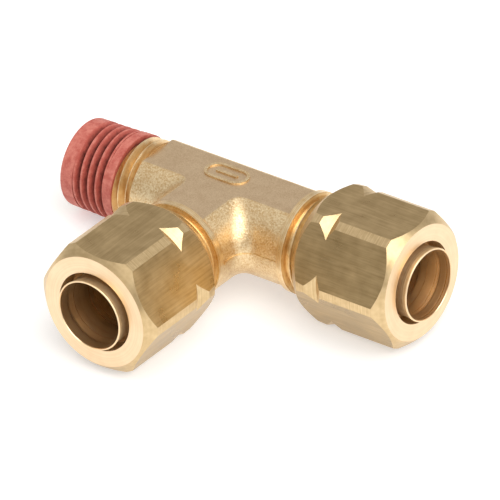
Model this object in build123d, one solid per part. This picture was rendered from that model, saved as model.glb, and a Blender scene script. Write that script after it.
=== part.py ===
from build123d import *
import os
from math import cos, radians, tan

# Brass compression run tee, in millimetres. +X runs from the tip of the taper pipe thread,
# where the origin is, to the run's tube port; -Y is the branch and +Z the forging's top.
# The functions work about the crossing of the two axes, and the parts are placed at the end.

# ---- overall lengths -------------------------------------------------------------------
RUN_FACE = 35.45             # crossing to the run nut's front face
BRANCH_FACE = 32.82          # crossing to the branch nut's front face
PIPE_END = 26.9              # crossing to the tip of the pipe thread

# ---- forging ---------------------------------------------------------------------------
RUN_ARM_R = 7.45
BRANCH_ARM_R = 7.85
FLAT_Z = 6.5                 # half height between the forging's two flats
PIPE_SHOULDER = 13.2         # crossing to the end of the forging at the pipe thread
CROTCH_R = 3.0               # fillet between the arms
FLAT_EDGE_R = 0.9
WATERWAY_R = 3.6
FLASH_PROUD = 0.18           # trimmed flash left along the parting line
FLASH_THICK = 0.5

# ---- generic raised mark on the top flat -------------------------------------------------
MARK_CENTRE = (-0.4, 0.3)
MARK_LENGTH = 7.6
MARK_WIDTH = 4.0
MARK_LINE = 0.5
MARK_PROUD = 0.22

# ---- 1/4-18 taper pipe thread ------------------------------------------------------------
PIPE_PITCH = 25.4 / 18
PIPE_TAPER = 1.7899          # degrees on each side: 1 in 16 on the diameter
PIPE_PITCH_R = 12.126 / 2    # pitch radius at the tip
PIPE_HEIGHT = 0.8 * PIPE_PITCH
PIPE_FLAT = 0.12             # width of the crest, and of the root
PIPE_CHAMFER = 0.5
PIPE_LEAD = 2 * PIPE_PITCH   # the ridge's helix starts this far ahead of the tip
PIPE_THREAD_TURN = -172.2    # degrees by which the helix's start is turned
THREAD_SINK = 0.1            # how far a thread's ridge is sunk into its core
SEAL_FILM = 0.16             # thickness of the dry sealant
SEAL_START = 0.3             # bare rim left at the tip
SEAL_LENGTH = 9.95
SEAL_BAND_PROUD = 0.2        # height of the filled bands above the metal's crests
SEAL_BANDS = ((SEAL_START, 2.5), (8.5, SEAL_LENGTH))  # where it fills the thread to the crests

# ---- 5/8-18 straight thread on each tube port ----------------------------------------------
PORT_PITCH = 25.4 / 18
PORT_MAJOR_R = 7.94
PORT_ROOT_R = 7.07
PORT_CREST = PORT_PITCH / 8
NUT_MAJOR_R = 8.07
NUT_MINOR_R = 7.22
THREAD_GAP = 0.12            # axial clearance on each flank
FLANK = tan(radians(30))

# ---- tube port, along the port's own axis with z = 0 at the nut's front face ----------------
SHOULDER_Z = -21.1           # turned shoulder, from the forging's end
SHOULDER_EDGE = 0.15
GROOVE_Z = -19.9             # thread relief behind the first thread
GROOVE_DEPTH = 0.1           # below the thread's root
THREAD_Z = -19.1
THREAD_LEAD = 0.5            # length over which the first thread rises
NOSE_Z = -8.2                # end of the body's neck
NOSE_CHAMFER = 0.7
SEAT_MOUTH_R = 6.2
SEAT_ANGLE = 15.0
TUBE_BORE_R = 4.85           # for tubing of 9.53 mm outside diameter
TUBE_STOP_Z = -24.5
FORGING_OVERLAP = 2.5        # how far the neck runs back into the forging

# ---- hex nut -----------------------------------------------------------------------------
HEX_FLATS = 19.05
NUT_LENGTH = 17.15
RUN_HEX_TURN = 1.5           # degrees by which each hex is turned from corners on the axis
BRANCH_HEX_TURN = -3.4
NUT_BORE_R = 6.44
NUT_COLLAR_R = 5.75          # collar that pushes on the sleeve
NUT_COLLAR_Z = (-3.8, -5.49)
NUT_CHAMBER_R = 6.5
NUT_RELIEF_Z = -7.6          # end of the chamber, start of the thread relief
NUT_THREAD_END_Z = -8.8
NUT_THREAD_LEAD = 0.6
NUT_OUTSIDE = (              # radius and z where the bar is turned down, from the front back
    (9.05, 0.0),
    (10.6, -1.5),
    (10.6, -10.9),
    (9.9, -12.0),
    (10.67, -13.8),
    (10.55, -15.3),
    (8.95, -NUT_LENGTH),
)

# ---- sleeve ------------------------------------------------------------------------------
SLEEVE_BORE_R = 4.83
SLEEVE_R = 5.5
SLEEVE_COLLAR_R = 6.25
SLEEVE_COLLAR_Z = -6.6
SLEEVE_MOUTH_Z = 1.3         # how far the mouth stands out of the nut
SLEEVE_LIP_R = 5.72
SLEEVE_LIP_BORE_R = 5.42
SLEEVE_LIP_EDGE = 0.12
SLEEVE_BELL_LENGTH = 2.0     # the bell mouth, inside
SLEEVE_TAPER_LENGTH = 5.0    # from the mouth to the plain bore
SLEEVE_NOSE_R = 5.1
SEAT_GAP = 0.15

# ---- tube support ------------------------------------------------------------------------
SUPPORT_R = 3.1
SUPPORT_BORE_R = 2.6
SUPPORT_FLANGE = 0.6
SUPPORT_TIP_Z = -12.2
SUPPORT_TIP_EDGE = 0.3

RUN_PORT = Plane(origin=(RUN_FACE, 0, 0), x_dir=(0, 1, 0), z_dir=(1, 0, 0)).location
BRANCH_PORT = Plane(origin=(0, -BRANCH_FACE, 0), x_dir=(1, 0, 0), z_dir=(0, -1, 0)).location
PIPE_PORT = Plane(origin=(-PIPE_END, 0, 0), x_dir=(0, 1, 0), z_dir=(1, 0, 0)).location


def turned(points):
    """Solid of revolution about Z from (radius, z) points."""
    return revolve(Plane.XZ * make_face(Polyline(*points, close=True)), Axis.Z)


def bored(radius, low, high):
    """Plain cylinder about Z from low to high."""
    return turned([(0, low), (radius, low), (radius, high), (0, high)])


def thread_ridge(pitch, root_r, crest_r, root_width, crest_width, start, height, taper=0.0):
    """Helical ridge about Z: four ruled faces between four helices, closed at both ends."""
    section = [
        (root_r, -root_width / 2),
        (crest_r, -crest_width / 2),
        (crest_r, crest_width / 2),
        (root_r, root_width / 2),
    ]
    lines = [
        Edge.make_helix(pitch, height, radius, center=(0, 0, start + shift), angle=taper)
        for radius, shift in section
    ]
    sides = [
        Face.make_surface_from_curves(line, lines[(index + 1) % len(lines)])
        for index, line in enumerate(lines)
    ]
    ends = [
        Face(Wire.make_polygon([line @ place for line in lines], close=True))
        for place in (0, 1)
    ]
    return Solid(Shell(sides + ends))


# ---- pipe thread ---------------------------------------------------------------------------
def pipe_r(z, offset=0.0):
    """Radius of the pipe thread's pitch cone at z from the tip, plus an offset."""
    return PIPE_PITCH_R + z * tan(radians(PIPE_TAPER)) + offset


def pipe_form(film=0.0):
    """The threaded end with a film of the given thickness over it; z = 0 at the tip."""
    length = PIPE_END - PIPE_SHOULDER
    root = -PIPE_HEIGHT / 2 + film
    crest = PIPE_HEIGHT / 2 + film
    widening = 2 * film * (1 / cos(radians(30)) - FLANK)
    low, high = -PIPE_LEAD, length + PIPE_LEAD / 2
    ridge = thread_ridge(
        PIPE_PITCH,
        pipe_r(low, root - THREAD_SINK),
        pipe_r(low, crest),
        PIPE_PITCH - PIPE_FLAT + widening / 3,
        PIPE_FLAT + widening,
        low,
        high - low,
        PIPE_TAPER,
    )
    low -= PIPE_LEAD / 2
    high += PIPE_LEAD / 2
    core = turned([(0, low), (pipe_r(low, root), low), (pipe_r(high, root), high), (0, high)])
    clear = crest + THREAD_SINK
    under = root - THREAD_SINK
    envelope = turned([
        (0, -film),
        (pipe_r(0, crest - PIPE_CHAMFER), -film),
        (pipe_r(PIPE_CHAMFER, clear), PIPE_CHAMFER + THREAD_SINK),
        (pipe_r(length, clear), length),
        (pipe_r(length, under), length),
        (pipe_r(length, under), length + FORGING_OVERLAP),
        (0, length + FORGING_OVERLAP),
    ])
    return (core + Rot(0, 0, PIPE_THREAD_TURN) * ridge) & envelope


def make_sealant():
    """Dry sealant film on the first turns, cut from a slightly larger copy of the thread."""
    film = pipe_form(SEAL_FILM) & turned([
        (0, SEAL_START),
        (2 * PIPE_PITCH_R, SEAL_START),
        (2 * PIPE_PITCH_R, SEAL_LENGTH),
        (0, SEAL_LENGTH),
    ])
    top = PIPE_HEIGHT / 2 + SEAL_BAND_PROUD
    for low, high in SEAL_BANDS:
        film += turned([(0, low), (pipe_r(low, top), low), (pipe_r(high, top), high), (0, high)])
    return PIPE_PORT * (film - pipe_form())


# ---- tee body ------------------------------------------------------------------------------
def make_forging():
    """The forged tee: two round arms with a flat top and bottom and a trimmed flash line."""
    run_end = RUN_FACE + SHOULDER_Z
    branch_end = BRANCH_FACE + SHOULDER_Z
    run_length = run_end + PIPE_SHOULDER
    run_mid = (run_end - PIPE_SHOULDER) / 2
    run = Pos(run_mid, 0, 0) * Rot(0, 90, 0) * Cylinder(RUN_ARM_R, run_length)
    branch = Pos(0, -branch_end / 2, 0) * Rot(90, 0, 0) * Cylinder(BRANCH_ARM_R, branch_end)
    slab = Box(4 * PIPE_END, 4 * PIPE_END, 2 * FLAT_Z)
    forging = (run & slab) + (branch & slab)
    crotches = [
        edge for edge in forging.edges()
        if edge.geom_type not in (GeomType.LINE, GeomType.CIRCLE)
        and edge.center().Y < -RUN_ARM_R / 3
    ]
    forging = fillet(crotches, CROTCH_R)
    arm_ends = (run_end, -PIPE_SHOULDER)
    rims = [
        edge for face in forging.faces() | Plane.XY for edge in face.edges()
        if all(abs(edge.center().X - end) > 0.1 for end in arm_ends)
        and abs(edge.center().Y + branch_end) > 0.1
    ]
    forging = fillet(rims, FLAT_EDGE_R)
    run_half = RUN_ARM_R + FLASH_PROUD
    branch_half = BRANCH_ARM_R + FLASH_PROUD
    plan = Pos(run_mid, 0) * Rectangle(run_length, 2 * run_half)
    plan += Pos(0, -branch_end / 2) * Rectangle(2 * branch_half, branch_end)
    inside = [
        corner for corner in plan.vertices()
        if abs(corner.Y + run_half) < 0.01 and abs(abs(corner.X) - branch_half) < 0.01
    ]
    plan = fillet(inside, CROTCH_R - FLASH_PROUD)
    return forging + extrude(plan, FLASH_THICK / 2, both=True)


def make_mark():
    """Plain raised oval with a bar across it."""
    ring = SlotOverall(MARK_LENGTH, MARK_WIDTH)
    ring -= SlotOverall(MARK_LENGTH - 2 * MARK_LINE, MARK_WIDTH - 2 * MARK_LINE)
    ring += Rectangle(MARK_LENGTH / 2, MARK_LINE)
    return Pos(*MARK_CENTRE, FLAT_Z - MARK_PROUD) * extrude(ring, 2 * MARK_PROUD)


def port_neck():
    """Turned shoulder, relief groove and threaded neck of one tube port."""
    core = turned([
        (0, SHOULDER_Z - FORGING_OVERLAP),
        (PORT_ROOT_R - 1, SHOULDER_Z - FORGING_OVERLAP),
        (PORT_ROOT_R - 1, SHOULDER_Z),
        (PORT_MAJOR_R - SHOULDER_EDGE, SHOULDER_Z),
        (PORT_MAJOR_R, SHOULDER_Z + SHOULDER_EDGE),
        (PORT_MAJOR_R, GROOVE_Z),
        (PORT_ROOT_R - GROOVE_DEPTH, GROOVE_Z + 2 * GROOVE_DEPTH),
        (PORT_ROOT_R - GROOVE_DEPTH, THREAD_Z + THREAD_LEAD),
        (0, THREAD_Z + THREAD_LEAD),
    ])
    root = bored(PORT_ROOT_R, THREAD_Z - 3 * PORT_PITCH, NOSE_Z + 3 * PORT_PITCH)
    ridge = thread_ridge(
        PORT_PITCH,
        PORT_ROOT_R - THREAD_SINK,
        PORT_MAJOR_R,
        PORT_CREST + 2 * FLANK * (PORT_MAJOR_R - PORT_ROOT_R + THREAD_SINK),
        PORT_CREST,
        THREAD_Z - PORT_PITCH,
        NOSE_Z - THREAD_Z + 2 * PORT_PITCH,
    )
    envelope = turned([
        (0, THREAD_Z),
        (PORT_ROOT_R, THREAD_Z),
        (PORT_MAJOR_R + THREAD_SINK, THREAD_Z + THREAD_LEAD),
        (PORT_MAJOR_R + THREAD_SINK, NOSE_Z - NOSE_CHAMFER),
        (PORT_ROOT_R, NOSE_Z),
        (0, NOSE_Z),
    ])
    return core + ((root + ridge) & envelope)


def port_bore():
    """Seat cone, tube bore and waterway of one tube port."""
    seat_depth = (SEAT_MOUTH_R - TUBE_BORE_R) / tan(radians(SEAT_ANGLE))
    return turned([
        (0, TUBE_STOP_Z),
        (TUBE_BORE_R, TUBE_STOP_Z),
        (TUBE_BORE_R, NOSE_Z - seat_depth),
        (SEAT_MOUTH_R, NOSE_Z),
        (SEAT_MOUTH_R, 1),
        (0, 1),
    ])


def make_body():
    """The whole tee body: forging, two tube necks, the pipe thread and the waterways."""
    body = make_forging() + make_mark() + PIPE_PORT * pipe_form()
    for port in (RUN_PORT, BRANCH_PORT):
        body += port * port_neck()
    for port in (RUN_PORT, BRANCH_PORT):
        body -= port * port_bore()
    body -= RUN_PORT * bored(WATERWAY_R, -RUN_FACE - PIPE_END - 1, TUBE_STOP_Z + 1)
    body -= BRANCH_PORT * bored(WATERWAY_R, -BRANCH_FACE, TUBE_STOP_Z + 1)
    return body


# ---- parts of one port -----------------------------------------------------------------------
def make_nut(hex_turn):
    """Hex nut: turned bar, seat for the sleeve's collar, and an internal thread."""
    bar = turned([(0, 0), *NUT_OUTSIDE, (0, -NUT_LENGTH)])
    hexagon = RegularPolygon(HEX_FLATS / 2, 6, major_radius=False, rotation=hex_turn)
    nut = bar & Pos(0, 0, -NUT_LENGTH) * extrude(hexagon, NUT_LENGTH)
    collar_front, collar_back = NUT_COLLAR_Z
    cone_end = collar_back - (NUT_CHAMBER_R - NUT_COLLAR_R) / FLANK
    hollow = turned([
        (0, 1),
        (NUT_BORE_R, 1),
        (NUT_BORE_R, collar_front + NUT_BORE_R - NUT_COLLAR_R),
        (NUT_COLLAR_R, collar_front),
        (NUT_COLLAR_R, collar_back),
        (NUT_CHAMBER_R, cone_end),
        (NUT_CHAMBER_R, NUT_RELIEF_Z),
        (NUT_MAJOR_R, NUT_RELIEF_Z),
        (NUT_MAJOR_R, THREAD_SINK - NUT_LENGTH),
        (NUT_MAJOR_R + 2 * THREAD_SINK, -THREAD_SINK - NUT_LENGTH),
        (0, -THREAD_SINK - NUT_LENGTH),
    ])
    space = PORT_PITCH - PORT_CREST - 2 * FLANK * (PORT_MAJOR_R - NUT_MINOR_R)
    crest = space - 2 * THREAD_GAP
    ridge = thread_ridge(
        PORT_PITCH,
        NUT_MAJOR_R + THREAD_SINK,
        NUT_MINOR_R,
        crest + 2 * FLANK * (NUT_MAJOR_R + THREAD_SINK - NUT_MINOR_R),
        crest,
        THREAD_Z - PORT_PITCH / 2,
        NUT_THREAD_END_Z - THREAD_Z + 2 * PORT_PITCH,
    )
    thread_start = THREAD_SINK - NUT_LENGTH + 2 * THREAD_SINK
    envelope = turned([
        (NUT_MINOR_R, thread_start + NUT_MAJOR_R - NUT_MINOR_R),
        (NUT_MAJOR_R, thread_start),
        (NUT_MAJOR_R + 2 * THREAD_SINK, thread_start),
        (NUT_MAJOR_R + 2 * THREAD_SINK, NUT_THREAD_END_Z),
        (NUT_MAJOR_R, NUT_THREAD_END_Z),
        (NUT_MINOR_R, NUT_THREAD_END_Z - NUT_THREAD_LEAD),
    ])
    return (nut - hollow) + (ridge & envelope)


def make_sleeve():
    """Long sleeve with a wedge nose, a collar that the nut pushes on, and a bell mouth."""
    seat_rise = tan(radians(SEAT_ANGLE))
    nose_z = NOSE_Z - (SEAT_MOUTH_R - SEAT_GAP - SLEEVE_NOSE_R) / seat_rise
    collar_back = NOSE_Z + (SLEEVE_COLLAR_R + SEAT_GAP - SEAT_MOUTH_R) / seat_rise
    barrel_start = SLEEVE_COLLAR_Z + (SLEEVE_COLLAR_R - SLEEVE_R) / FLANK
    edge = SLEEVE_LIP_EDGE
    return turned([
        (SLEEVE_BORE_R, nose_z),
        (SLEEVE_NOSE_R, nose_z),
        (SLEEVE_COLLAR_R, collar_back),
        (SLEEVE_COLLAR_R, SLEEVE_COLLAR_Z),
        (SLEEVE_R, barrel_start),
        (SLEEVE_R, 0),
        (SLEEVE_LIP_R, SLEEVE_MOUTH_Z - edge),
        (SLEEVE_LIP_R - edge / 2, SLEEVE_MOUTH_Z),
        (SLEEVE_LIP_BORE_R + edge / 2, SLEEVE_MOUTH_Z),
        (SLEEVE_LIP_BORE_R, SLEEVE_MOUTH_Z - edge),
        (SLEEVE_LIP_BORE_R - edge, SLEEVE_MOUTH_Z - SLEEVE_BELL_LENGTH),
        (SLEEVE_BORE_R, SLEEVE_MOUTH_Z - SLEEVE_TAPER_LENGTH),
    ])


def make_support():
    """Thin tube that holds the tubing open, with a flange against the tube stop."""
    edge = SUPPORT_TIP_EDGE
    return turned([
        (SUPPORT_BORE_R, TUBE_STOP_Z),
        (TUBE_BORE_R, TUBE_STOP_Z),
        (TUBE_BORE_R, TUBE_STOP_Z + SUPPORT_FLANGE),
        (SUPPORT_R, TUBE_STOP_Z + SUPPORT_FLANGE),
        (SUPPORT_R, SUPPORT_TIP_Z - 2 * edge),
        (SUPPORT_R - edge, SUPPORT_TIP_Z),
        (SUPPORT_BORE_R, SUPPORT_TIP_Z),
    ])


os.makedirs("parts", exist_ok=True)
parts = {
    "tee_body": make_body(),
    "thread_sealant": make_sealant(),
    "run_nut": RUN_PORT * make_nut(RUN_HEX_TURN),
    "run_sleeve": RUN_PORT * make_sleeve(),
    "run_tube_support": RUN_PORT * make_support(),
    "branch_nut": BRANCH_PORT * make_nut(BRANCH_HEX_TURN),
    "branch_sleeve": BRANCH_PORT * make_sleeve(),
    "branch_tube_support": BRANCH_PORT * make_support(),
}
for name, shape in parts.items():
    export_step(Pos(PIPE_END, 0, 0) * shape, f"parts/{name}.step")
    print(name, len(shape.solids()), round(shape.volume, 1), shape.is_valid)
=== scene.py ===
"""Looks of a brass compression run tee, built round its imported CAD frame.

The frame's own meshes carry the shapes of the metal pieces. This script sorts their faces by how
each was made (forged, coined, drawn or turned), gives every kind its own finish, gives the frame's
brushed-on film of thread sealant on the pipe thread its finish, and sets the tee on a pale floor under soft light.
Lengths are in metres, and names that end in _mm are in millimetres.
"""

from __future__ import annotations

import logging
import math
from dataclasses import dataclass, field
from enum import Enum

import bpy
import numpy as np
from mathutils import Matrix, Vector


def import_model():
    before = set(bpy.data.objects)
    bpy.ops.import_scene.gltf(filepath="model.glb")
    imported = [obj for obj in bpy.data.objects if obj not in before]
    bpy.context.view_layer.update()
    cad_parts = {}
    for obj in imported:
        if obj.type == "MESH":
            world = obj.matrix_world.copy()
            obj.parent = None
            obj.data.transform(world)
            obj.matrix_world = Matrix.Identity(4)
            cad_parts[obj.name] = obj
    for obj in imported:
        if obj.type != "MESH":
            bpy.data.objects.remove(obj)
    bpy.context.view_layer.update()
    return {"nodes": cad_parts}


LOG = logging.getLogger("run_tee")
MM = 0.001
CROSSING = (26.9 * MM, 0.0, 0.0)  # where the run's axis and the branch's axis cross


# ---- small helpers --------------------------------------------------------------------------
def linear(hex_colour: str) -> tuple[float, float, float, float]:
    """Turn an sRGB hex colour to linear RGBA.

    Args:
        hex_colour: Six hex digits, with or without a leading #.

    Returns:
        Linear red, green, blue and an alpha of 1.
    """
    digits = hex_colour.lstrip("#")
    channels = [int(digits[i:i + 2], 16) / 255 for i in (0, 2, 4)]
    values = [c / 12.92 if c <= 0.04045 else ((c + 0.055) / 1.055) ** 2.4 for c in channels]
    return (values[0], values[1], values[2], 1.0)


def add_node(tree: bpy.types.NodeTree, kind: str, inputs: dict | None = None, **settings) -> bpy.types.Node:
    """Add a node with its settings, socket values and links.

    Args:
        tree: The node tree that takes the node.
        kind: The node's type, such as "ShaderNodeTexNoise".
        inputs: Socket name or index to a value, or to an output socket that feeds it.
        **settings: Attributes of the node itself.

    Returns:
        The new node.
    """
    node = tree.nodes.new(kind)
    for name, value in settings.items():
        setattr(node, name, value)
    for name, value in (inputs or {}).items():
        if isinstance(value, bpy.types.NodeSocket):
            tree.links.new(value, node.inputs[name])
        else:
            node.inputs[name].default_value = value
    return node


class Axis(Enum):
    """An axis that a piece was turned or drawn about, as a unit vector."""

    RUN = (1.0, 0.0, 0.0)
    BRANCH = (0.0, -1.0, 0.0)

    @property
    def across(self) -> tuple[float, float, float]:
        """The vector that keeps only the two directions across the axis."""
        return tuple(1.0 - abs(part) for part in self.value)


# ---- finishes --------------------------------------------------------------------------------
@dataclass(frozen=True)
class Finish:
    """A named surface finish that can make its own Blender material."""

    name: str

    def material(self) -> bpy.types.Material:
        """Return the material, made the first time that it is asked for."""
        found = bpy.data.materials.get(self.name)
        if found is not None:
            return found
        made = bpy.data.materials.new(self.name)
        made.use_nodes = True
        made.node_tree.nodes.clear()
        shader = self.shader(made.node_tree)
        add_node(made.node_tree, "ShaderNodeOutputMaterial", {"Surface": shader})
        return made

    def shader(self, tree: bpy.types.NodeTree) -> bpy.types.NodeSocket:
        """Build the finish's nodes and return the surface output."""
        raise NotImplementedError

    @staticmethod
    def place(tree: bpy.types.NodeTree) -> bpy.types.NodeSocket:
        """Return the point on the piece in the frame, which stays with the piece as it moves."""
        return add_node(tree, "ShaderNodeTexCoord").outputs["Object"]


@dataclass(frozen=True)
class ForgedBrass(Finish):
    """Hot-forged brass, shot-blasted after trimming: a grainy orange peel that glints in points."""

    low: str = "#D3AE7A"
    high: str = "#F4E0B8"
    grain_mm: float = 0.25
    patch_mm: float = 1.8
    depth_mm: float = 0.075
    roughness: tuple[float, float] = (0.3, 0.46)

    def shader(self, tree: bpy.types.NodeTree) -> bpy.types.NodeSocket:
        """Build the grain, the slow colour drift and the metal."""
        place = self.place(tree)
        grain = add_node(tree, "ShaderNodeTexNoise",
                         {"Vector": place, "Scale": 1 / (self.grain_mm * MM), "Detail": 2.0, "Roughness": 0.55})
        patch = add_node(tree, "ShaderNodeTexNoise",
                         {"Vector": place, "Scale": 1 / (self.patch_mm * MM), "Detail": 3.0, "Roughness": 0.6})
        both = add_node(tree, "ShaderNodeMix", {0: 0.7, 2: patch.outputs["Fac"], 3: grain.outputs["Fac"]})
        colour = add_node(tree, "ShaderNodeMapRange",
                          {"Value": both.outputs[0], "From Min": 0.36, "From Max": 0.64})
        tint = add_node(tree, "ShaderNodeMix",
                        {0: colour.outputs[0], 6: linear(self.low), 7: linear(self.high)}, data_type="RGBA")
        rough = add_node(tree, "ShaderNodeMapRange",
                         {"Value": grain.outputs["Fac"], "From Min": 0.3, "From Max": 0.7,
                          "To Min": self.roughness[0], "To Max": self.roughness[1]})
        bump = add_node(tree, "ShaderNodeBump",
                        {"Height": grain.outputs["Fac"], "Strength": 0.8, "Distance": self.depth_mm * MM})
        metal = add_node(tree, "ShaderNodeBsdfPrincipled",
                         {"Base Color": tint.outputs[2], "Metallic": 1.0,
                          "Roughness": rough.outputs[0], "Normal": bump.outputs[0]})
        return metal.outputs[0]


@dataclass(frozen=True)
class TurnedBrass(Finish):
    """Brass turned on a lathe: bright, with fine tool lines round its axis that stretch the gloss."""

    axis: Axis = Axis.RUN
    low: str = "#DCB883"
    high: str = "#F5DFB6"
    feed_mm: float = 0.24  # real feed is about 0.08 mm; drawn three times as coarse so that it shows
    depth_mm: float = 0.006
    roughness: float = 0.3
    streak_mm: float = 0.9

    def shader(self, tree: bpy.types.NodeTree) -> bpy.types.NodeSocket:
        """Build rings that follow both the cylinders and the faces of the turned piece."""
        place = self.place(tree)
        local = add_node(tree, "ShaderNodeVectorMath", {0: place, 1: CROSSING}, operation="SUBTRACT").outputs[0]
        along = add_node(tree, "ShaderNodeVectorMath", {0: local, 1: self.axis.value}, operation="DOT_PRODUCT")
        flat = add_node(tree, "ShaderNodeVectorMath", {0: local, 1: self.axis.across}, operation="MULTIPLY")
        out = add_node(tree, "ShaderNodeVectorMath", {0: flat.outputs[0]}, operation="LENGTH")
        path = add_node(tree, "ShaderNodeMath",
                        {0: out.outputs["Value"], 1: 0.77, 2: along.outputs["Value"]}, operation="MULTIPLY_ADD")
        ring = add_node(tree, "ShaderNodeTexNoise",
                        {"W": path.outputs[0], "Scale": 1 / (self.feed_mm * MM), "Detail": 2.0},
                        noise_dimensions="1D")
        patch = add_node(tree, "ShaderNodeTexNoise",
                         {"Vector": place, "Scale": 1 / (self.streak_mm * MM), "Detail": 2.0})
        both = add_node(tree, "ShaderNodeMix", {0: 0.45, 2: ring.outputs["Fac"], 3: patch.outputs["Fac"]})
        colour = add_node(tree, "ShaderNodeMapRange",
                          {"Value": both.outputs[0], "From Min": 0.35, "From Max": 0.65})
        tint = add_node(tree, "ShaderNodeMix",
                        {0: colour.outputs[0], 6: linear(self.low), 7: linear(self.high)}, data_type="RGBA")
        rough = add_node(tree, "ShaderNodeMapRange",
                         {"Value": ring.outputs["Fac"], "From Min": 0.3, "From Max": 0.7,
                          "To Min": self.roughness - 0.05, "To Max": self.roughness + 0.08})
        bump = add_node(tree, "ShaderNodeBump",
                        {"Height": ring.outputs["Fac"], "Strength": 0.5, "Distance": self.depth_mm * MM})
        metal = add_node(tree, "ShaderNodeBsdfPrincipled",
                         {"Base Color": tint.outputs[2], "Metallic": 1.0,
                          "Roughness": rough.outputs[0], "Normal": bump.outputs[0]})
        return metal.outputs[0]


@dataclass(frozen=True)
class DrawnBrass(Finish):
    """Flats of cold-drawn hex bar, with die lines along the bar; their olive-brown colour is painted shade, darkened to
    stand for the dim surroundings that the flats reflect.
    """

    axis: Axis = Axis.RUN
    # Painted shade: these olive-brown colours are darker than the brass, to stand for the dim surroundings that the
    # flats reflect.
    low: str = "#A0865B"
    high: str = "#CDB285"
    line_mm: float = 0.32
    patch_mm: float = 3.2
    stretch: float = 0.05  # a die line's width as a share of its length
    depth_mm: float = 0.004
    roughness: tuple[float, float] = (0.26, 0.38)

    def shader(self, tree: bpy.types.NodeTree) -> bpy.types.NodeSocket:
        """Build die lines as noise drawn out along the bar, over a slow drift of the flats' colour, which is painted
        shade.
        """
        place = self.place(tree)
        scale = tuple(across + self.stretch * abs(part) for part, across in zip(self.axis.value, self.axis.across))
        drawn = add_node(tree, "ShaderNodeVectorMath", {0: place, 1: scale}, operation="MULTIPLY")
        line = add_node(tree, "ShaderNodeTexNoise",
                        {"Vector": drawn.outputs[0], "Scale": 1 / (self.line_mm * MM),
                         "Detail": 3.0, "Roughness": 0.62})
        patch = add_node(tree, "ShaderNodeTexNoise",
                         {"Vector": place, "Scale": 1 / (self.patch_mm * MM), "Detail": 3.0})
        both = add_node(tree, "ShaderNodeMix", {0: 0.5, 2: line.outputs["Fac"], 3: patch.outputs["Fac"]})
        colour = add_node(tree, "ShaderNodeMapRange",
                          {"Value": both.outputs[0], "From Min": 0.3, "From Max": 0.7})
        tint = add_node(tree, "ShaderNodeMix",
                        {0: colour.outputs[0], 6: linear(self.low), 7: linear(self.high)}, data_type="RGBA")
        rough = add_node(tree, "ShaderNodeMapRange",
                         {"Value": patch.outputs["Fac"], "From Min": 0.3, "From Max": 0.7,
                          "To Min": self.roughness[0], "To Max": self.roughness[1]})
        bump = add_node(tree, "ShaderNodeBump",
                        {"Height": line.outputs["Fac"], "Strength": 0.6, "Distance": self.depth_mm * MM})
        metal = add_node(tree, "ShaderNodeBsdfPrincipled",
                         {"Base Color": tint.outputs[2], "Metallic": 1.0,
                          "Roughness": rough.outputs[0], "Normal": bump.outputs[0]})
        return metal.outputs[0]


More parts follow.
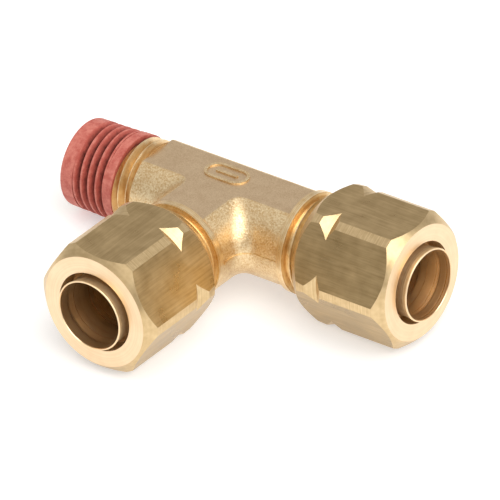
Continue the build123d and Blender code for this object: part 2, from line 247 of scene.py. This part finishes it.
@dataclass(frozen=True)
class DriedSealant(Finish):
    """Brushed-on acrylic thread sealant, dried: matte red, paler on the crests where the film is thin and as a painted
    highlight, and darker in the grooves as painted shade.
    """

    # Painted highlight and painted shade: the crest colour lifts the ridges as light would, partly also for the thin
    # film there; the groove colour darkens the grooves where shade falls.
    painted_crest_highlight: str = "#D88676"
    middle: str = "#B5574A"
    painted_groove_shade: str = "#55211A"
    cone: tuple[float, float] = (6.2 * MM, 0.03125)  # mean radius at the tip, and rise for each metre
    half_height_mm: float = 0.7
    grain_mm: float = 0.3
    pit_mm: float = 1.1
    depth_mm: float = 0.06
    roughness: float = 0.6

    def shader(self, tree: bpy.types.NodeTree) -> bpy.types.NodeSocket:
        """Build a colour that follows the height on the thread, with grain and small pits: painted shade deep in the
        grooves, a painted highlight on the crests.
        """
        place = self.place(tree)
        along = add_node(tree, "ShaderNodeVectorMath", {0: place, 1: Axis.RUN.value}, operation="DOT_PRODUCT")
        flat = add_node(tree, "ShaderNodeVectorMath", {0: place, 1: Axis.RUN.across}, operation="MULTIPLY")
        out = add_node(tree, "ShaderNodeVectorMath", {0: flat.outputs[0]}, operation="LENGTH")
        level = add_node(tree, "ShaderNodeMath",
                         {0: along.outputs["Value"], 1: -self.cone[1], 2: out.outputs["Value"]},
                         operation="MULTIPLY_ADD")
        half = self.half_height_mm * MM
        height = add_node(tree, "ShaderNodeMapRange",
                          {"Value": level.outputs[0], "From Min": self.cone[0] - half, "From Max": self.cone[0] + half})
        grain = add_node(tree, "ShaderNodeTexNoise",
                         {"Vector": place, "Scale": 1 / (self.grain_mm * MM), "Detail": 3.0})
        pit = add_node(tree, "ShaderNodeTexNoise",
                       {"Vector": place, "Scale": 1 / (self.pit_mm * MM), "Detail": 4.0, "Roughness": 0.7})
        mottle = add_node(tree, "ShaderNodeMapRange",
                          {"Value": pit.outputs["Fac"], "From Min": 0.3, "From Max": 0.7, "To Min": -0.22, "To Max": 0.22})
        share = add_node(tree, "ShaderNodeMath", {0: height.outputs[0], 1: mottle.outputs[0]}, operation="ADD")
        lower = add_node(tree, "ShaderNodeMapRange", {"Value": share.outputs[0], "From Min": 0.15, "From Max": 0.7})
        upper = add_node(tree, "ShaderNodeMapRange", {"Value": share.outputs[0], "From Min": 0.8, "From Max": 1.2})
        # Painted shade in the grooves, then a painted highlight on the crests, by the height on the thread.
        groove_shaded = add_node(tree, "ShaderNodeMix",
                        {0: lower.outputs[0], 6: linear(self.painted_groove_shade), 7: linear(self.middle)}, data_type="RGBA")
        tint = add_node(tree, "ShaderNodeMix",
                        {0: upper.outputs[0], 6: groove_shaded.outputs[2], 7: linear(self.painted_crest_highlight)}, data_type="RGBA")
        rough = add_node(tree, "ShaderNodeMath", {0: grain.outputs["Fac"], 1: pit.outputs["Fac"]}, operation="ADD")
        bump = add_node(tree, "ShaderNodeBump",
                        {"Height": rough.outputs[0], "Strength": 0.8, "Distance": self.depth_mm * MM})
        paint = add_node(tree, "ShaderNodeBsdfPrincipled",
                         {"Base Color": tint.outputs[2], "Roughness": self.roughness, "IOR": 1.49,
                          "Normal": bump.outputs[0]})
        return paint.outputs[0]


FORGED = ForgedBrass("forged_brass_blasted")
# A coined flat was pressed smooth by the trimming die: the same brass with a fine, shallow grain.
# Its duller, taupe colour is painted shade, standing for the dimmer light that these flats reflect.
COINED_SHADED = ForgedBrass("forged_brass_coined_painted_shade", low="#CDB08C", high="#E4CBA8", grain_mm=0.16, depth_mm=0.01,
                     roughness=(0.36, 0.46))
TURNED = {axis: TurnedBrass(f"turned_brass_{axis.name.lower()}", axis) for axis in Axis}
CUT_THREAD = TurnedBrass("cut_thread_brass", Axis.RUN, low="#DAB37F", high="#F3DDB6", roughness=0.3)
# A faced end is cut with a slower feed: nearly white in a bright room, and a little pink.
FACED = {axis: TurnedBrass(f"faced_brass_{axis.name.lower()}", axis, low="#E9CCA6", high="#F2D8B4",
                           depth_mm=0.002, roughness=0.34, streak_mm=2.0) for axis in Axis}
# The hex flats' colour is painted shade: a darkened copy of the brass for the dim reflections on the flats.
DRAWN_SHADED = {axis: DrawnBrass(f"drawn_hex_brass_painted_shade_{axis.name.lower()}", axis) for axis in Axis}
# The hex bar's corners are only skimmed by the tool: nearly as dull as the flats beside them.
SKIMMED = {axis: TurnedBrass(f"skimmed_corner_brass_{axis.name.lower()}", axis, low="#C9AD80", high="#DFC598",
                             depth_mm=0.002, roughness=0.34) for axis in Axis}
# A reamed wall is scored all over: it stays tan where a burnished one would go dark.
REAMED = {axis: TurnedBrass(f"reamed_brass_{axis.name.lower()}", axis, low="#E6C79B", high="#F5DEB8",
                            depth_mm=0.003, roughness=0.5) for axis in Axis}
# The sleeve is reamed and lightly burnished: a paler, softer brass that shades off evenly inside.
SLEEVE = {axis: TurnedBrass(f"burnished_sleeve_brass_{axis.name.lower()}", axis, low="#EED0A6", high="#F2D7AF",
                            depth_mm=0.0004, roughness=0.32) for axis in Axis}
# Its colour carries painted shade in the thread's grooves and a painted highlight on its crests.
SEALANT = DriedSealant("dried_thread_sealant")


# ---- sorting the faces of a CAD node -----------------------------------------------------------
@dataclass
class FaceMap:
    """Where the faces of a node lie: centres and normals in the frame, as arrays."""

    centres: np.ndarray
    normals: np.ndarray

    @classmethod
    def of(cls, mesh: bpy.types.Mesh) -> "FaceMap":
        """Read the centres and normals of a mesh's faces."""
        count = len(mesh.polygons)
        centres, normals = np.zeros(count * 3), np.zeros(count * 3)
        mesh.polygons.foreach_get("center", centres)
        mesh.polygons.foreach_get("normal", normals)
        return cls(centres.reshape(-1, 3), normals.reshape(-1, 3))

    def radius(self, axis: Axis, origin: Vector) -> np.ndarray:
        """Return each centre's distance from an axis through a point."""
        rel = (self.centres - np.array(origin)) * np.array(axis.across)
        return np.linalg.norm(rel, axis=1)

    def outward(self, axis: Axis, origin: Vector) -> np.ndarray:
        """Return how far each face looks away from an axis through a point, from -1 to 1."""
        rel = (self.centres - np.array(origin)) * np.array(axis.across)
        return np.einsum("ij,ij->i", rel, self.normals) / np.linalg.norm(rel, axis=1)

    def along(self, axis: Axis, origin: Vector) -> np.ndarray:
        """Return each centre's place along an axis through a point."""
        return (self.centres - np.array(origin)) @ np.array(axis.value)


def dress(node: bpy.types.Object, finishes: list[Finish], choice: np.ndarray) -> None:
    """Give a node's faces their finishes.

    Args:
        node: The object to dress; its vertices stay as they are.
        finishes: The finishes, in the order that the choice counts them.
        choice: For each face, the index of its finish.
    """
    node.data.materials.clear()
    for finish in finishes:
        node.data.materials.append(finish.material())
    node.data.polygons.foreach_set("material_index", choice.astype(np.int32))
    node.data.update()
    LOG.info("%s: %d faces in %d finishes", node.name, len(choice), len(finishes))


# ---- sub-assemblies ------------------------------------------------------------------------------
@dataclass
class TeeBody:
    """The forged body with its turned ends, and the film of sealant on its pipe thread."""

    nodes: dict[str, bpy.types.Object]
    crossing: Vector = field(default_factory=lambda: Vector(CROSSING))
    flat_height: float = 6.5 * MM
    forging: tuple[float, float] = (-13.2 * MM, 14.35 * MM)  # ends of the forging along the run
    branch_end: float = 11.72 * MM
    bore_radius: float = 5.0 * MM
    seat_radius: float = 6.35 * MM
    seat_start: float = 21.0 * MM

    def build(self) -> None:
        """Dress the body and the sealant."""
        body = self.nodes["tee_body"]
        faces = FaceMap.of(body.data)
        x = faces.along(Axis.RUN, self.crossing)
        y = faces.along(Axis.BRANCH, self.crossing)
        run_r = faces.radius(Axis.RUN, self.crossing)
        branch_r = faces.radius(Axis.BRANCH, self.crossing)
        edge = 0.02 * MM
        on_flat = (np.abs(np.abs(faces.centres[:, 2]) - self.flat_height) < edge) & (np.abs(faces.normals[:, 2]) > 0.99)
        bore = (run_r < self.bore_radius) | ((x > self.seat_start) & (run_r < self.seat_radius))
        bore |= (branch_r < self.bore_radius) & (y > self.bore_radius)
        bore |= (y > self.seat_start - 3 * MM) & (branch_r < self.seat_radius)
        kinds = [
            (FORGED, np.ones(len(x), bool)),
            # The coined flats' taupe colour is painted shade.
            (COINED_SHADED, on_flat),
            (TURNED[Axis.RUN], x > self.forging[1] - edge),
            (TURNED[Axis.BRANCH], y > self.branch_end - edge),
            (CUT_THREAD, x < self.forging[0] + edge),
            (TURNED[Axis.RUN], bore),
        ]
        choice = np.zeros(len(x))
        for index, (_, chosen) in enumerate(kinds):
            choice[chosen] = index
        dress(body, [finish for finish, _ in kinds], choice)
        seal = self.nodes["thread_sealant"]
        dress(seal, [SEALANT], np.zeros(len(seal.data.polygons)))


@dataclass
class TubePort:
    """One compression port: its hex nut, its sleeve and the tube support inside it."""

    nodes: dict[str, bpy.types.Object]
    prefix: str
    axis: Axis
    face: Vector
    hex_half: float = 9.525 * MM
    flat_tolerance: float = 0.03 * MM
    bore_radius: float = 6.6 * MM
    outward_share: float = 0.5

    def build(self) -> None:
        """Dress the nut, the sleeve and the support."""
        nut = self.nodes[f"{self.prefix}_nut"]
        faces = FaceMap.of(nut.data)
        depth = faces.along(self.axis, self.face)
        radial = (faces.centres - np.array(self.face)) * np.array(self.axis.across)
        reach = np.einsum("ij,ij->i", radial, faces.normals)
        flats = (np.abs(reach - self.hex_half) < self.flat_tolerance)
        flats &= np.abs(faces.normals @ np.array(self.axis.value)) < 0.01
        faced = (depth > -0.01 * MM) & ~flats
        reamed = faces.radius(self.axis, self.face) < self.bore_radius
        choice = np.select([flats, faced, reamed], [1, 2, 3], 0)
        # The hex flats take the drawn brass, whose darkened colour is painted shade.
        dress(nut, [SKIMMED[self.axis], DRAWN_SHADED[self.axis], FACED[self.axis], REAMED[self.axis]], choice)
        sleeve = self.nodes[f"{self.prefix}_sleeve"]
        faces = FaceMap.of(sleeve.data)
        outward = faces.outward(self.axis, self.face) > self.outward_share
        dress(sleeve, [SLEEVE[self.axis], REAMED[self.axis]], outward.astype(float))
        support = self.nodes[f"{self.prefix}_tube_support"]
        dress(support, [SLEEVE[self.axis]], np.zeros(len(support.data.polygons)))


# ---- stage ---------------------------------------------------------------------------------------
@dataclass(frozen=True)
class SoftBox:
    """A large soft light, aimed at the tee."""

    name: str
    direction: tuple[float, float, float]
    size: float
    radiance: float
    distance: float = 1.0

    def build(self, target: Vector) -> None:
        """Hang the light and aim it at a point."""
        light = bpy.data.lights.new(self.name, "AREA")
        light.shape = "SQUARE"
        light.size = self.size
        light.energy = self.radiance * math.pi * self.size**2
        lamp = bpy.data.objects.new(self.name, light)
        back = Vector(self.direction).normalized()
        lamp.location = target + back * self.distance
        lamp.rotation_mode = "QUATERNION"
        lamp.rotation_quaternion = back.to_track_quat("Z", "Y")
        bpy.context.scene.collection.objects.link(lamp)


@dataclass
class Studio:
    """Floor, lights, room and camera."""

    nodes: dict[str, bpy.types.Object]
    aim: Vector = field(default_factory=lambda: Vector((30.835, -0.643, -4.780)) * MM)
    azimuth: float = math.radians(38.895)
    elevation: float = math.radians(31.869)
    roll: float = math.radians(-3.059)
    distance: float = 2.0
    lens_per_metre: float = 485.9
    floor_size: float = 12.0
    floor_colour: str = "#D8D7D6"
    floor_glow: float = 0.45  # the sheet is lit from below, which keeps its shadows faint
    boxes: tuple[SoftBox, ...] = (
        SoftBox("overhead_box", (0.45, -0.25, 0.86), 0.9, 2.6),
        SoftBox("right_box", (0.9, 0.05, 0.45), 0.7, 1.6),
    )

    def build(self) -> None:
        """Set up the whole studio."""
        self.lay_floor()
        self.light_room()
        for box in self.boxes:
            box.build(self.aim)
        self.place_camera()
        bpy.context.scene.view_settings.view_transform = "Standard"

    def rest_plane(self) -> tuple[Vector, Vector]:
        """Find the plane that the tee rests on.

        Returns:
            A point of the plane, and its upward normal.
        """
        feet = [np.array([v.co for v in self.nodes[name].data.vertices])
                for name in ("run_nut", "branch_nut", "thread_sealant")]
        up = Vector((0.0, 0.0, 1.0))
        for _ in range(6):
            points = [Vector(foot[np.argmin(foot @ np.array(up))]) for foot in feet]
            up = (points[1] - points[0]).cross(points[2] - points[0]).normalized()
            up = up if up.z > 0 else -up
        return points[0], up

    def lay_floor(self) -> None:
        """Lay a plain pale floor under the tee."""
        point, up = self.rest_plane()
        mesh = bpy.data.meshes.new("floor")
        half = self.floor_size / 2
        corners = [(-half, -half, 0), (half, -half, 0), (half, half, 0), (-half, half, 0)]
        mesh.from_pydata(corners, [], [(0, 1, 2, 3)])
        floor = bpy.data.objects.new("floor", mesh)
        floor.matrix_world = Matrix.Translation(point) @ up.to_track_quat("Z", "Y").to_matrix().to_4x4()
        paper = bpy.data.materials.new("matt_paper")
        paper.use_nodes = True
        paper.node_tree.nodes.clear()
        diffuse = add_node(paper.node_tree, "ShaderNodeBsdfDiffuse", {"Color": linear(self.floor_colour)})
        glow = add_node(paper.node_tree, "ShaderNodeEmission", {"Color": linear("#FFFFFF"), "Strength": self.floor_glow})
        lit = add_node(paper.node_tree, "ShaderNodeAddShader", {0: diffuse.outputs[0], 1: glow.outputs[0]})
        add_node(paper.node_tree, "ShaderNodeOutputMaterial", {"Surface": lit.outputs[0]})
        mesh.materials.append(paper)
        bpy.context.scene.collection.objects.link(floor)

    def light_room(self) -> None:
        """Fill the room with a soft light that is dimmer low down than overhead."""
        world = bpy.data.worlds.new("soft_room")
        world.use_nodes = True
        tree = world.node_tree
        tree.nodes.clear()
        direction = add_node(tree, "ShaderNodeTexCoord").outputs["Generated"]
        height = add_node(tree, "ShaderNodeSeparateXYZ", {0: direction})
        lift = add_node(tree, "ShaderNodeMapRange",
                        {"Value": height.outputs["Z"], "From Min": 0.0, "From Max": 1.0, "To Min": 0.5, "To Max": 0.8})
        shade = add_node(tree, "ShaderNodeBackground", {"Color": linear("#FFFCF8"), "Strength": lift.outputs[0]})
        add_node(tree, "ShaderNodeOutputWorld", {"Surface": shade.outputs[0]})
        bpy.context.scene.world = world

    def place_camera(self) -> None:
        """Place a long-lens camera at its azimuth, elevation and roll."""
        back = Vector((math.sin(self.azimuth) * math.cos(self.elevation),
                       -math.cos(self.azimuth) * math.cos(self.elevation), math.sin(self.elevation)))
        right = Vector((math.cos(self.azimuth), math.sin(self.azimuth), 0.0))
        up = back.cross(right)
        turn = Matrix((right, up, back)).transposed() @ Matrix.Rotation(self.roll, 3, "Z")
        data = bpy.data.cameras.new("camera")
        data.lens = self.lens_per_metre * self.distance
        data.clip_start, data.clip_end = 0.01, 50.0
        camera = bpy.data.objects.new("camera", data)
        camera.matrix_world = Matrix.Translation(self.aim + back * self.distance) @ turn.to_4x4()
        bpy.context.scene.collection.objects.link(camera)
        bpy.context.scene.camera = camera


def corners(bounds: tuple[Vector, Vector]) -> list[list[float]]:
    """Turn a pair of corners to plain lists."""
    return [list(corner) for corner in bounds]


def main() -> None:
    """Build the tee's looks and its studio."""
    logging.basicConfig(level=logging.INFO, format="%(message)s")
    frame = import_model()
    nodes = frame["nodes"]
    TeeBody(nodes).build()
    TubePort(nodes, "run", Axis.RUN, Vector((62.35 * MM, 0.0, 0.0))).build()
    TubePort(nodes, "branch", Axis.BRANCH, Vector((CROSSING[0], -32.82 * MM, 0.0))).build()
    Studio(nodes).build()
    bpy.context.view_layer.update()


if __name__ == "__main__":
    main()
